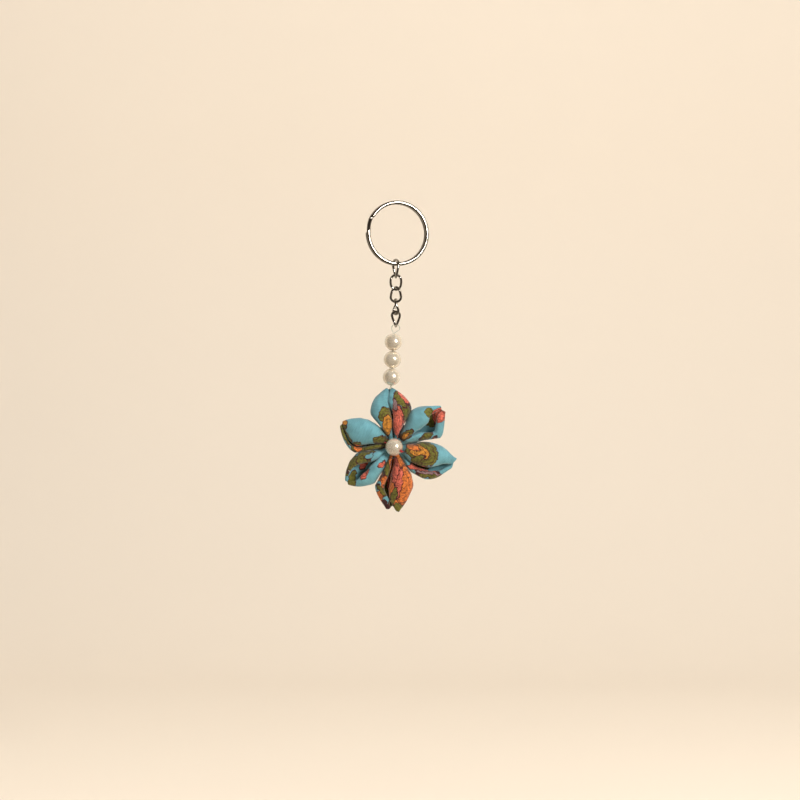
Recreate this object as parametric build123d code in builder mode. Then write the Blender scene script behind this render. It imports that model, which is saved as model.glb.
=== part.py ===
"""Key ring charm: a split ring, five chain links, three pearls on a clear line, and a folded cloth flower.

The charm hangs. +Z is up and the flower faces -Y. The origin is where a hook bears on the inside of the
split ring. Lengths are in millimetres and angles in degrees.
"""

import os
from math import cos, radians, sin, tan

from build123d import *

os.makedirs("parts", exist_ok=True)

# Split ring: one steel wire in two coils, turned a little to the right of straight ahead.
RING_DIAMETER = 30.0
RING_WIRE_RADIAL = 1.8
RING_WIRE_AXIAL = 1.55
COIL_PITCH = 1.6
RING_YAW = 18.0
FRONT_END = 148.0  # where the front coil's free end is, counted from +X over the top
BACK_END = 180.0  # where the back coil's free end is
CROSSOVER_SECTIONS = 7

# Chain: a longer link on the ring, then four curb links, all of the same round wire.
CHAIN_X = -0.7
LINK_WIRE = 1.1
RING_LINK_GAP = 0.4  # room for the first link to swing round the ring's wire
LINK_GAP = 0.08
CURB_LINK = (6.0, 7.9)  # width and length over the wire
LINKS = (
    # name, width, length, angle of the top bend and of the bottom bend about +Z
    ("link_1", 7.4, 9.2, 124.0, 93.0),
    ("link_2", *CURB_LINK, -30.0, 40.0),
    ("link_3", *CURB_LINK, -60.0, 10.0),
    ("link_4", *CURB_LINK, 67.0, 137.0),
    ("link_5", *CURB_LINK, 20.0, 90.0),
)
BEND_CORNERS = 4  # corners in each half loop, every one rounded
ARC_SHARE = 0.96

# Pearl string: a doubled clear line with a loop at its top and a knot at its bottom.
PEARL_DIAMETER = 8.0
PEARL_HOLE = 1.4
PEARL_PITCH = 8.06
PEARLS = ("pearl_upper", "pearl_middle", "pearl_lower")
STRING_TILT = 3.0
LINE_DIAMETER = 0.4
STRAND_SPACING = 0.46
LOOP_HALF_WIDTH = 1.85
LOOP_DROP = 4.1  # from the loop's top to the first pearl's top
LOOP_SHIFT = 0.75  # the loop's top stands this far to the right of the string
LOOP_SHOULDER = 2.2  # from the loop's top to where its sides turn in
LOOP_BEND = 1.0
LOOP_TOP_BEND = 1.6
LOOP_CLEARANCE = 0.1  # the strands come together this far above the first pearl
KNOT_DIAMETER = 1.5
KNOT_DROP = 1.2  # from the last pearl's bottom to the knot
KNOT_CLEARANCE = 0.2

# Flower: six petals gathered on one thread, a felt disc behind them, a sewn pearl in front.
FLOWER_X = -1.5
PETAL_INNER = 4.2
PETALS = (
    # name, direction from +X, tip radius, half of the free angle between its neighbours
    ("petal_top", 93.0, 27.9, 27.0),
    ("petal_upper_right", 38.0, 29.0, 24.0),
    ("petal_lower_right", -11.0, 29.1, 24.0),
    ("petal_bottom", -91.5, 29.7, 25.2),
    ("petal_lower_left", -143.0, 28.1, 25.2),
    ("petal_upper_left", 156.0, 27.3, 29.0),
)
PETAL_STATIONS = (
    # share of the way from the inner end to the tip, share of the free width, half depth
    (0.0, 0.78, 2.0),
    (0.2, 0.86, 3.6),
    (0.45, 0.95, 4.9),
    (0.7, 0.74, 4.2),
    (0.88, 0.33, 2.5),
    (0.99, 0.06, 0.9),
)
TIP_NOTCH = 1.1
TIP_POCKET = 2.1
GATHER_RADIUS = 5.2
THREAD_DIAMETER = 0.35
THREAD_CHANNEL = 0.6
FELT_DIAMETER = 22.0
FELT_FRONT = 5.2
FELT_THICKNESS = 1.2
CENTRE_PEARL_Y = -4.8
BEAD_AXIS_ANGLE = -26.6
BEAD_HOLE = 1.0
BEAD_THREAD_CLEARANCE = 0.6
BEAD_KNOT_DIAMETER = 1.1
BEAD_KNOT_OUT = 0.1  # outward from the thread's turn
BEAD_KNOT_BACK = 0.75  # back from the bead's axis
STITCH_HALF = 1.2  # half the width of the stitch in the middle of the flower

# Places that follow from the dimensions above.
ring_centre = Vector(0, 0, RING_WIRE_RADIAL - RING_DIAMETER / 2)
ring_right = Vector(cos(radians(RING_YAW)), sin(radians(RING_YAW)), 0)
ring_back = Vector(-sin(radians(RING_YAW)), cos(radians(RING_YAW)), 0)
wire_path_radius = (RING_DIAMETER - RING_WIRE_RADIAL) / 2


def finish(piece, name):
    """Label a finished piece and write it to its own file."""
    piece.part.label = name
    export_step(piece.part, f"parts/{name}.step")


# ---------------------------------------------------------------- split ring
def wire_plane(angle, layer):
    """The plane across the ring's wire: layer is -1 on the front coil and 1 on the back one."""
    outward = ring_right * cos(radians(angle)) + Vector(0, 0, sin(radians(angle)))
    middle = ring_centre + outward * wire_path_radius + ring_back * (layer * COIL_PITCH / 2)
    return Plane(origin=middle, x_dir=outward, z_dir=outward.cross(ring_back))


def crossover_layer(share):
    """A smooth step from the front coil to the back one."""
    return 2 * share * share * (3 - 2 * share) - 1


ring_axis = Axis(ring_centre, -ring_back)
coil_sweep = 360 - (BACK_END - FRONT_END)

with BuildPart() as split_ring:
    with BuildSketch(wire_plane(BACK_END, -1)):
        Ellipse(RING_WIRE_RADIAL / 2, RING_WIRE_AXIAL / 2)
    revolve(axis=ring_axis, revolution_arc=coil_sweep)
    with BuildSketch(wire_plane(FRONT_END, 1)):
        Ellipse(RING_WIRE_RADIAL / 2, RING_WIRE_AXIAL / 2)
    revolve(axis=ring_axis, revolution_arc=-coil_sweep)
    for step in range(CROSSOVER_SECTIONS):
        share = step / (CROSSOVER_SECTIONS - 1)
        angle = BACK_END + share * (FRONT_END - BACK_END)
        with BuildSketch(wire_plane(angle, crossover_layer(share))):
            Ellipse(RING_WIRE_RADIAL / 2, RING_WIRE_AXIAL / 2)
    loft()
finish(split_ring, "split_ring")


# ---------------------------------------------------------------- chain
def tangent_radii(corners):
    """The radius for each corner of a run of points, so that the arcs nearly meet halfway along each edge."""
    radii = []
    last = len(corners) - 2
    for number in range(1, len(corners) - 1):
        before = corners[number] - corners[number - 1]
        after = corners[number + 1] - corners[number]
        room_before = before.length if number == 1 else before.length / 2
        room_after = after.length if number == last else after.length / 2
        half_turn = radians(before.get_angle(after) / 2)
        radii.append(ARC_SHARE * min(room_before, room_after) / tan(half_turn))
    return radii


def twisted_link(centre, width, length, top_angle, bottom_angle):
    """A stadium of round wire, twisted about its long axis and made as an upper and a lower half loop."""
    rim = (width - LINK_WIRE) / 2
    shank = (length - width) / 2
    corner_step = 180 / BEND_CORNERS
    corner_reach = rim / cos(radians(corner_step / 2))
    middle_angle = (top_angle + bottom_angle) / 2
    twist_rate = (top_angle - bottom_angle) / (length - LINK_WIRE)
    with BuildPart() as link:
        for end in (1, -1):
            flat_loop = [(rim, 0)]
            for number in range(BEND_CORNERS):
                turn = radians(corner_step * (number + 0.5))
                flat_loop.append((corner_reach * cos(turn), end * (shank + corner_reach * sin(turn))))
            flat_loop.append((-rim, 0))
            corners = []
            for across, height in flat_loop:
                angle = radians(middle_angle + twist_rate * height)
                corners.append(centre + Vector(across * cos(angle), across * sin(angle), height))
            with BuildLine() as half_loop:
                FilletPolyline(*corners, radius=tangent_radii(corners))
            with BuildSketch(Plane(origin=corners[0], z_dir=corners[1] - corners[0])):
                Circle(LINK_WIRE / 2)
            sweep(path=half_loop.wires()[0])
    return link


ring_floor = ring_centre.Z - RING_DIAMETER / 2 + RING_WIRE_RADIAL
link_top = ring_floor + RING_LINK_GAP + LINK_WIRE
hang_heights = {}
for name, width, length, top_angle, bottom_angle in LINKS:
    link = twisted_link(Vector(CHAIN_X, 0, link_top - length / 2), width, length, top_angle, bottom_angle)
    finish(link, name)
    hang_heights[name] = link_top - length + LINK_WIRE / 2
    link_top = link_top - length + 2 * LINK_WIRE + LINK_GAP

# ---------------------------------------------------------------- pearl string
loop_top = hang_heights["link_5"] + LINK_WIRE / 2 + LINK_GAP + LINE_DIAMETER / 2
string_down = Vector(-sin(radians(STRING_TILT)), 0, -cos(radians(STRING_TILT)))
string_right = Vector(cos(radians(STRING_TILT)), 0, -sin(radians(STRING_TILT)))
string_top = Vector(CHAIN_X, 0, loop_top) - string_right * LOOP_SHIFT
first_pearl = LOOP_DROP + PEARL_DIAMETER / 2
knot_at = first_pearl + 2 * PEARL_PITCH + PEARL_DIAMETER / 2 + KNOT_DROP
knot_centre = string_top + string_down * knot_at
string_plane = Plane(origin=string_top, x_dir=string_right, z_dir=(0, -1, 0))

with BuildPart() as nylon_line:
    with BuildLine(string_plane) as doubled_line:
        strand = STRAND_SPACING / 2
        loop_left = LOOP_SHIFT - LOOP_HALF_WIDTH
        loop_right = LOOP_SHIFT + LOOP_HALF_WIDTH
        FilletPolyline(
            (-strand, -knot_at),
            (-strand, LOOP_CLEARANCE - LOOP_DROP),
            (loop_left, -LOOP_SHOULDER),
            (loop_left, 0),
            (loop_right, 0),
            (loop_right, -LOOP_SHOULDER),
            (strand, LOOP_CLEARANCE - LOOP_DROP),
            (strand, -knot_at),
            radius=(LOOP_BEND, LOOP_BEND, LOOP_TOP_BEND, LOOP_TOP_BEND, LOOP_BEND, LOOP_BEND),
        )
    with BuildSketch(Plane(origin=doubled_line.line @ 0, z_dir=doubled_line.line % 0)):
        Circle(LINE_DIAMETER / 2)
    sweep(path=doubled_line.wires()[0])
    with Locations(knot_centre):
        Sphere(KNOT_DIAMETER / 2)
finish(nylon_line, "nylon_line")

for number, name in enumerate(PEARLS):
    pearl_centre = string_top + string_down * (first_pearl + number * PEARL_PITCH)
    with BuildPart(Plane(origin=pearl_centre, z_dir=-string_down)) as pearl:
        Sphere(PEARL_DIAMETER / 2)
        Hole(PEARL_HOLE / 2)
    finish(pearl, name)

# ---------------------------------------------------------------- flower
top_direction = radians(PETALS[0][1])
tip_radius = PETALS[0][2]
tip = knot_centre - string_down * (KNOT_DIAMETER / 2 + KNOT_CLEARANCE)
flower_centre = Vector(FLOWER_X, 0, tip.Z - tip_radius * sin(top_direction))
front_plane = Plane(origin=flower_centre, x_dir=(1, 0, 0), z_dir=(0, -1, 0))

for name, direction, tip_radius, half_angle in PETALS:
    outward = Vector(cos(radians(direction)), 0, sin(radians(direction)))
    with BuildPart() as petal:
        for share, width_share, half_depth in PETAL_STATIONS:
            radius = PETAL_INNER + share * (tip_radius - PETAL_INNER)
            half_width = radius * tan(radians(half_angle)) * width_share
            with BuildSketch(Plane(origin=flower_centre + outward * radius, x_dir=(0, -1, 0), z_dir=outward)):
                Ellipse(half_depth, half_width)
        loft()
        with Locations(front_plane):
            Torus(GATHER_RADIUS, THREAD_CHANNEL / 2, mode=Mode.SUBTRACT)
        if name == "petal_top":
            with Locations(knot_centre):
                Sphere(TIP_POCKET / 2, mode=Mode.SUBTRACT)
            with Locations(knot_centre - string_down * KNOT_DIAMETER):
                Box(TIP_NOTCH, 2 * CURB_LINK[0], 2 * KNOT_DIAMETER, mode=Mode.SUBTRACT)
    finish(petal, name)

with BuildPart() as gathering_thread:
    with Locations(front_plane):
        Torus(GATHER_RADIUS, THREAD_DIAMETER / 2)
finish(gathering_thread, "gathering_thread")

felt_front = flower_centre + Vector(0, FELT_FRONT, 0)

with BuildPart() as felt_backing:
    with BuildSketch(Plane(origin=felt_front, x_dir=(1, 0, 0), z_dir=(0, 1, 0))):
        Circle(FELT_DIAMETER / 2)
    extrude(amount=FELT_THICKNESS)
finish(felt_backing, "felt_backing")

bead_centre = flower_centre + Vector(0, CENTRE_PEARL_Y, 0)
bead_axis = Vector(cos(radians(BEAD_AXIS_ANGLE)), 0, sin(radians(BEAD_AXIS_ANGLE)))

with BuildPart(Plane(origin=bead_centre, z_dir=bead_axis)) as centre_pearl:
    Sphere(PEARL_DIAMETER / 2)
    Hole(BEAD_HOLE / 2)
finish(centre_pearl, "centre_pearl")

# The red thread goes through the pearl, round it, and back through the middle of the flower.
side = PEARL_DIAMETER / 2 + BEAD_THREAD_CLEARANCE
stitch_depth = FELT_FRONT - THREAD_DIAMETER - CENTRE_PEARL_Y
thread_plane = Plane(origin=bead_centre, x_dir=bead_axis, z_dir=bead_axis.cross(Vector(0, 1, 0)))

with BuildPart() as bead_thread:
    with BuildLine(thread_plane) as thread_route:
        right_half = FilletPolyline(
            (0, 0),
            (side, 0),
            (side, 1.5),
            (2.6, 4.3),
            (STITCH_HALF, 5.6),
            (STITCH_HALF, stitch_depth),
            (0, stitch_depth),
            radius=(0.6, 0.9, 2.0, 1.0, 0.5),
        )
        mirror(right_half, about=Plane(origin=bead_centre, z_dir=bead_axis))
    with BuildSketch(Plane(origin=bead_centre, z_dir=bead_axis)):
        Circle(THREAD_DIAMETER / 2)
    sweep(path=thread_route.wires()[0])
    with Locations(bead_centre + bead_axis * (side + BEAD_KNOT_OUT) + Vector(0, BEAD_KNOT_BACK, 0)):
        Sphere(BEAD_KNOT_DIAMETER / 2)
finish(bead_thread, "bead_thread")
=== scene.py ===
# %% [markdown]
# # A key ring charm with three pearls and a folded cloth flower
# The charm is a split ring, a short chain, three pearls on a clear line, and a flower of six folded cotton
# petals with a pearl sewn to its middle. The engineering model already holds the true sizes and the joints.
# Here every piece gets the finish and the soft shapes that the engineering model leaves plain.
# All lengths are in metres. X is to the right, Z is up, and the flower faces -Y.

# %% Load the engineering model
from math import atan2, cos, exp, pi, radians, sin, sqrt, tan

import bmesh
import bpy
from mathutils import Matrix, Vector, noise


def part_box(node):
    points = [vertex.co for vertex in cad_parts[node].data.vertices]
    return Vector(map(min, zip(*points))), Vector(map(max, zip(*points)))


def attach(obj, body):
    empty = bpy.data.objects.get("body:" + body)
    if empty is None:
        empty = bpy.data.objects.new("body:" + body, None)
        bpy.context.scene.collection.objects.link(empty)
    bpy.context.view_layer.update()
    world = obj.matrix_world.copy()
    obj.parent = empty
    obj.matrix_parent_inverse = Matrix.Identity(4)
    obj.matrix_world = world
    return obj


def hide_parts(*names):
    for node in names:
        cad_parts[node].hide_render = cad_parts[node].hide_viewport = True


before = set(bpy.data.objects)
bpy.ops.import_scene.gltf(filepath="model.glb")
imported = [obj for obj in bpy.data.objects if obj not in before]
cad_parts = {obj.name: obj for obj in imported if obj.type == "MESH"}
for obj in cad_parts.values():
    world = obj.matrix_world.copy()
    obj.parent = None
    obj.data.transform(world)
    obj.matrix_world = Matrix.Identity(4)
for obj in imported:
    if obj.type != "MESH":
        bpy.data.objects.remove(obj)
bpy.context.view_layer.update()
MM = 0.001


def middle_of(node):
    """The centre of an engineering node's box."""
    low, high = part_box(node)
    return (low + high) / 2


# %% [markdown]
# ## The camera
# The charm is seen straight on and from about an arm's length, so that the ring and the flower keep their
# true proportions. The lens is worked out from two plain facts: how far away the camera stands, and how
# wide a strip of the world its picture shows. The charm hangs a little above the picture's middle.

# %% Camera
CAMERA_DISTANCE = 0.90
PICTURE_WIDTH = 0.368
SENSOR_WIDTH = 36.0
AIM = Vector((0.0012, 0.0, -0.0899))

camera_data = bpy.data.cameras.new("camera")
camera_data.sensor_width = SENSOR_WIDTH
camera_data.lens = SENSOR_WIDTH * CAMERA_DISTANCE / PICTURE_WIDTH
camera = bpy.data.objects.new("camera", camera_data)
camera.location = AIM - Vector((0, CAMERA_DISTANCE, 0))
camera.rotation_euler = (radians(90), 0, 0)
bpy.context.scene.collection.objects.link(camera)
bpy.context.scene.camera = camera
bpy.context.scene.view_settings.view_transform = "Standard"
print("lens:", round(camera_data.lens, 1), "mm")

# %% [markdown]
# ## Small helpers for nodes
# A material or a Geometry Nodes tree is a few dozen boxes joined by wires. Two helpers keep each of those
# steps to one line: one adds a box and sets its values, and one runs a plain sum on a wire.

# %% Node helpers
def add_node(tree, kind, values=None, **settings):
    """A new node in the tree, with its settings and the values of its unlinked inputs."""
    node = tree.nodes.new(kind)
    for key, value in settings.items():
        setattr(node, key, value)
    for key, value in (values or {}).items():
        if isinstance(value, bpy.types.NodeSocket):
            tree.links.new(value, node.inputs[key])
        else:
            node.inputs[key].default_value = value
    return node


def maths(tree, operation, *values):
    """The output of a Math node whose inputs are numbers or wires."""
    return add_node(tree, "ShaderNodeMath", dict(enumerate(values)), operation=operation).outputs[0]


def vectors(tree, operation, *values):
    """The output of a Vector Math node, which is a number for a length or a dot product."""
    node = add_node(tree, "ShaderNodeVectorMath", dict(enumerate(values)), operation=operation)
    return node.outputs["Value" if operation in ("LENGTH", "DOT_PRODUCT") else "Vector"]


def scaled_by(tree, wire, amount):
    """A vector or colour times a number."""
    return add_node(tree, "ShaderNodeVectorMath", {0: wire, "Scale": amount}, operation="SCALE").outputs[0]


def fade(tree, value, low, high, at_low=0.0, at_high=1.0):
    """A smooth step of a wire's value."""
    values = {"Value": value, 1: low, 2: high, 3: at_low, 4: at_high}
    return add_node(tree, "ShaderNodeMapRange", values, interpolation_type="SMOOTHSTEP").outputs[0]


def mixed(tree, share, below, above):
    """One colour laid over another."""
    values = {0: share, 6: below, 7: above}
    return add_node(tree, "ShaderNodeMix", values, data_type="RGBA").outputs[2]


def noise_wire(tree, place, scale, detail=3.0, rough=0.5, output="Fac"):
    """Cloudy noise at a place. The scale is in waves per metre of that place."""
    values = {"Vector": place, "Scale": scale, "Detail": detail, "Roughness": rough}
    return add_node(tree, "ShaderNodeTexNoise", values).outputs[output]


def bump(tree, height, distance, strength=1.0, below=None):
    """A bump node's normal, from a height between 0 and 1 and its real depth."""
    values = {"Height": height, "Distance": distance, "Strength": strength}
    if below is not None:
        values["Normal"] = below
    return add_node(tree, "ShaderNodeBump", values).outputs[0]


def new_material(name, **constants):
    """A material with one Principled shader, whose plain values are set on its own sockets."""
    material = bpy.data.materials.new(name)
    material.use_nodes = True
    tree = material.node_tree
    shader = tree.nodes["Principled BSDF"]
    for key, value in constants.items():
        shader.inputs[key.replace("_", " ")].default_value = value
    here = add_node(tree, "ShaderNodeTexCoord").outputs["Object"]
    return material, tree, shader, here


def paint(tree, shader, **wires):
    """Wires into the shader's own inputs."""
    for key, wire in wires.items():
        tree.links.new(wire, shader.inputs[key.replace("_", " ")])


print("helpers ready")

# %% [markdown]
# ## Polished steel
# The ring and the chain are nickel-plated steel wire. Polished metal has almost no colour of its own, so
# what makes it look real is unevenness: faint cloudy patches where fingers have dulled the plating, and
# very fine scratches that run every way. Both change the roughness and a shallow bump.

# %% Steel
NICKEL_DULL = (0.34, 0.305, 0.265, 1)
NICKEL_BRIGHT = (0.47, 0.44, 0.40, 1)
SCRATCH_TONE = (0.22, 0.19, 0.16, 1)
LONG_SCRATCHES = (1.0, 1.0, 0.08)  # noise squeezed less along Z makes marks that run along Z


def steel(name, scratch_waves):
    """Bright nickel plate over steel wire, with handling marks."""
    material, tree, shader, here = new_material(name, Metallic=1.0, IOR=2.4)
    clouds = noise_wire(tree, here, 260.0, detail=4.0)
    scratches = noise_wire(tree, vectors(tree, "MULTIPLY", here, LONG_SCRATCHES), scratch_waves, detail=2.0)
    fine = fade(tree, scratches, 0.56, 0.70)
    tint = mixed(tree, fade(tree, clouds, 0.35, 0.7), NICKEL_DULL, NICKEL_BRIGHT)
    worn = mixed(tree, maths(tree, "MULTIPLY", fine, 0.35), tint, SCRATCH_TONE)
    cloudy = fade(tree, clouds, 0.3, 0.75, 0.05, 0.14)
    rough = maths(tree, "ADD", cloudy, maths(tree, "MULTIPLY", fine, 0.08))
    normal = bump(tree, maths(tree, "ADD", clouds, fine), 4e-6, 0.6)
    paint(tree, shader, Base_Color=worn, Roughness=rough, Normal=normal)
    return material


ring_steel = steel("ring_steel", 5200.0)
chain_steel = steel("chain_steel", 7600.0)


def finish_node(name, material):
    """Give an engineering node that keeps its own shape its real finish."""
    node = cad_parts[name]
    node.data.materials.clear()
    node.data.materials.append(material)


LINK_NAMES = [f"link_{number}" for number in range(1, 6)]
finish_node("split_ring", ring_steel)
for link_name in LINK_NAMES:
    finish_node(link_name, chain_steel)
print("steel on the ring and", len(LINK_NAMES), "links")

# %% [markdown]
# ## Clear nylon line
# The pearls hang on fishing line. It is clear plastic, so it shows mostly as two thin bright edges and a
# little green. A shader with full transmission and the index of nylon does that, with faint die lines
# along its length for the bump.

# %% Nylon
LINE_GREEN = (0.66, 0.80, 0.72, 1)
LINE_LILAC = (0.84, 0.80, 0.83, 1)

nylon, tree, shader, here = new_material(
    "clear_nylon", Roughness=0.07, IOR=1.53, Transmission_Weight=0.93, Coat_Weight=0.3)
streaks = noise_wire(tree, vectors(tree, "MULTIPLY", here, (1.0, 1.0, 0.1)), 2600.0)
tinted = mixed(tree, fade(tree, streaks, 0.4, 0.7), LINE_GREEN, LINE_LILAC)
paint(tree, shader, Base_Color=tinted, Normal=bump(tree, streaks, 8e-6, 0.5))
finish_node("nylon_line", nylon)
print("nylon on the doubled line")

# %% [markdown]
# ## Making a mesh
# Most pieces here are grids of points that a formula places, row after row. Blender needs the faces between
# those points as well, so one helper lists them and joins the last row or column to the first where a
# shape closes on itself. The others make an object of the mesh, merge points that coincide, and freeze an
# object's modifiers so that what is left is plain geometry.

# %% Mesh helpers
def grid_faces(rows, columns, rows_close=False, columns_close=False):
    """The faces of a grid of points, whose rows or columns may close on themselves."""
    faces = []
    for row in range(rows if rows_close else rows - 1):
        for column in range(columns if columns_close else columns - 1):
            beside = (column + 1) % columns
            here_row, next_row = row * columns, (row + 1) % rows * columns
            faces.append((here_row + column, here_row + beside, next_row + beside, next_row + column))
    return faces


def object_from(name, points, faces, material, smooth=True):
    """A mesh object at the origin, with its place in its points."""
    mesh = bpy.data.meshes.new(name)
    mesh.from_pydata([tuple(p) for p in points], [], faces)
    mesh.validate()
    mesh.materials.append(material)
    if smooth:
        mesh.polygons.foreach_set("use_smooth", [True] * len(mesh.polygons))
    made = bpy.data.objects.new(name, mesh)
    bpy.context.scene.collection.objects.link(made)
    return made


def weld_and_turn_out(made, distance=1e-6):
    """Merge points that coincide and turn every face outwards."""
    work = bmesh.new()
    work.from_mesh(made.data)
    bmesh.ops.remove_doubles(work, verts=work.verts, dist=distance)
    bmesh.ops.recalc_face_normals(work, faces=work.faces)
    work.to_mesh(made.data)
    work.free()


def freeze(made):
    """Apply every modifier by taking the evaluated mesh."""
    bpy.context.view_layer.update()
    graph = bpy.context.evaluated_depsgraph_get()
    mesh = bpy.data.meshes.new_from_object(made.evaluated_get(graph), depsgraph=graph)
    old = made.data
    made.modifiers.clear()
    if made.type == "CURVE":
        name = made.name
        bpy.data.objects.remove(made)
        made = bpy.data.objects.new(name, mesh)
        bpy.context.scene.collection.objects.link(made)
    else:
        made.data = mesh
        bpy.data.meshes.remove(old)
    return made


def report(made):
    """Print how large a piece's mesh is."""
    low = [min(v.co[axis] for v in made.data.vertices) for axis in range(3)]
    high = [max(v.co[axis] for v in made.data.vertices) for axis in range(3)]
    size = [round((b - a) / MM, 2) for a, b in zip(low, high)]
    print(made.name, "faces:", len(made.data.polygons), "size in mm:", size)


def settle(made, body, slot, *nodes):
    """Put a finished piece on its body and let it stand for its engineering nodes."""
    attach(made, body)
    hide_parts(*nodes)
    report(made)


print("mesh helpers ready")

# %% [markdown]
# ## Pearl finish
# These are moulded beads dipped in pearl lacquer. Tiny mirror flakes lie flat in the lacquer, so a pearl
# is half a mirror: it shows a soft bright spot, a dark middle where it faces the dim room, and a light rim.
# A half-metallic ivory does that, and a clear coat over it adds the second, sharper highlight. The colour
# drifts in large soft clouds, and the lacquer has a faint orange-peel surface.

# %% Pearl material
IVORY_DEEP = (0.74, 0.65, 0.50, 1)
IVORY_LIGHT = (0.84, 0.76, 0.62, 1)
FLAKE_PINK = (0.92, 0.82, 0.78, 1)
SEAM_TONE = (0.60, 0.50, 0.36, 1)


def pearl_lacquer(name, seam_point, seam_normal):
    """Ivory lacquer, with a moulding line in the plane through the point."""
    material, tree, shader, here = new_material(
        name, Metallic=0.55, IOR=1.7, Coat_Weight=0.8, Coat_Roughness=0.06, Coat_IOR=1.6,
        Subsurface_Weight=0.12, Subsurface_Scale=0.0008, Sheen_Weight=0.25, Sheen_Roughness=0.3)
    shader.inputs["Subsurface Radius"].default_value = (1.0, 0.75, 0.5)
    shader.inputs["Sheen Tint"].default_value = (1.0, 0.93, 0.80, 1)
    clouds = noise_wire(tree, here, 420.0, detail=3.0)
    flakes = noise_wire(tree, here, 9000.0, detail=1.0)
    ivory = mixed(tree, fade(tree, clouds, 0.3, 0.7), IVORY_DEEP, IVORY_LIGHT)
    lively = mixed(tree, maths(tree, "MULTIPLY", flakes, 0.22), ivory, FLAKE_PINK)
    offset = vectors(tree, "SUBTRACT", here, tuple(seam_point))
    side = maths(tree, "ABSOLUTE", vectors(tree, "DOT_PRODUCT", offset, tuple(seam_normal)))
    line = fade(tree, side, 0.04 * MM, 0.14 * MM, 1.0, 0.0)
    toned = mixed(tree, maths(tree, "MULTIPLY", line, 0.35), lively, SEAM_TONE)
    rough = fade(tree, flakes, 0.2, 0.8, 0.20, 0.30)
    peel = bump(tree, noise_wire(tree, here, 1500.0, detail=1.0), 6e-6, 0.5)
    normal = bump(tree, line, 2e-5, 0.5, below=peel)
    paint(tree, shader, Base_Color=toned, Roughness=rough, Normal=normal)
    return material


print("pearl lacquer ready")

# %% [markdown]
# ## Pearl shape
# A bead is a turned shape: its outline goes up the bore, over a small worn chamfer, round the outside and
# back. Spinning that outline makes a bead with a real hole. A thin raised line runs over it from one hole
# to the other, where the two halves of the mould met.

# %% Pearl shape
PEARL_RADIUS = 4.0 * MM
PEARL_TURNS = 112
PEARL_RINGS = 64
SEAM_HEIGHT = 0.035 * MM
SEAM_WIDTH = 0.10 * MM
CHAMFER_WIDTH = 0.16 * MM
CHAMFER_DEPTH = 0.14 * MM
CHAMFER_ROUND = 0.05 * MM
BACKWARDS = Vector((0, 1, 0))


def bead_outline(bore):
    """The (radius, height) points of a bead's section, and the radius where its chamfer starts."""
    rim = bore + CHAMFER_WIDTH
    rim_height = sqrt(PEARL_RADIUS**2 - rim**2)
    start = atan2(rim_height, rim)
    outline = [(rim - CHAMFER_ROUND, rim_height - CHAMFER_ROUND / 5)]
    for step in range(PEARL_RINGS + 1):
        angle = start * (1 - 2 * step / PEARL_RINGS)
        outline.append((PEARL_RADIUS * cos(angle), PEARL_RADIUS * sin(angle)))
    outline.append((outline[0][0], -outline[0][1]))
    bore_top = outline[0][1] - CHAMFER_DEPTH
    outline += [(bore, height * bore_top) for height in (-1, -1 / 3, 1 / 3, 1)]
    return outline, rim


def turned_bead(name, centre, axis, bore, seam_angle, material):
    """A bead with a chamfered bore, spun about its axis."""
    axis = axis.normalized()
    across = axis.cross(BACKWARDS).normalized()
    deep = axis.cross(across)
    outline, rim = bead_outline(bore)
    points = []
    for turn in range(PEARL_TURNS):
        angle = 2 * pi * turn / PEARL_TURNS
        out = across * cos(angle) + deep * sin(angle)
        for radius, height in outline:
            away = abs(sin(angle - seam_angle)) * radius
            lift = SEAM_HEIGHT * exp(-((away / SEAM_WIDTH) ** 2)) if radius > rim else 0
            points.append(centre + out * (radius + lift) + axis * height)
    faces = grid_faces(PEARL_TURNS, len(outline), rows_close=True, columns_close=True)
    bead = object_from(name, points, faces, material)
    weld_and_turn_out(bead)
    return bead


print("outline points of a bead:", len(bead_outline(PEARL_RADIUS / 8)[0]))

# %% [markdown]
# ## The three pearls on the line
# Each pearl is threaded a little turned, so its moulding line shows in another place. The line through the
# first and the last pearl is the axis that all three are drilled and spin on.

# %% Pearls on the line
LINE_BORE = 0.7 * MM
STRING_PEARLS = ("pearl_upper", "pearl_middle", "pearl_lower")
SEAM_ANGLES = (70.0, 112.0, 15.0)
string_axis = middle_of("pearl_upper") - middle_of("pearl_lower")
across = string_axis.normalized().cross(BACKWARDS).normalized()
deep = string_axis.normalized().cross(across)
for node_name, seam_degrees in zip(STRING_PEARLS, SEAM_ANGLES):
    centre = middle_of(node_name)
    seam_angle = radians(seam_degrees)
    seam_normal = deep * cos(seam_angle) - across * sin(seam_angle)
    lacquer = pearl_lacquer(f"{node_name}_lacquer", centre, seam_normal)
    bead = turned_bead(f"{node_name}_bead", centre, string_axis, LINE_BORE, seam_angle, lacquer)
    settle(bead, node_name, "pearl", node_name)

# %% [markdown]
# ## The sewn pearl
# The pearl in the flower's middle is the same bead, but it lies on its side: the thread goes in at its left
# and comes out low on its right. So its axis is tilted, and its bore is narrower because only thread has to
# pass.

# %% The sewn pearl
BEAD_TILT = radians(-26.6)
THREAD_BORE = 0.5 * MM
flower_pearl = middle_of("centre_pearl")
bead_axis = Vector((cos(BEAD_TILT), 0, sin(BEAD_TILT)))
lacquer = pearl_lacquer("centre_pearl_lacquer", flower_pearl, BACKWARDS)
bead = turned_bead("centre_pearl_bead", flower_pearl, bead_axis, THREAD_BORE, 0.0, lacquer)
settle(bead, "centre_pearl", "pearl", "centre_pearl")

# %% [markdown]
# ## Printed cotton
# The petals are light printed cotton: a teal ground with olive, orange and coral leaves, each with a dark
# red outline and thin inner lines. Such a print is drawn here as motifs. One node group lays a single
# oval motif over whatever colour is below it, and a chain of those groups paints a petal. The place of a
# motif is given as a tailor would: how far out along the petal, and how far to its left.

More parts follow.
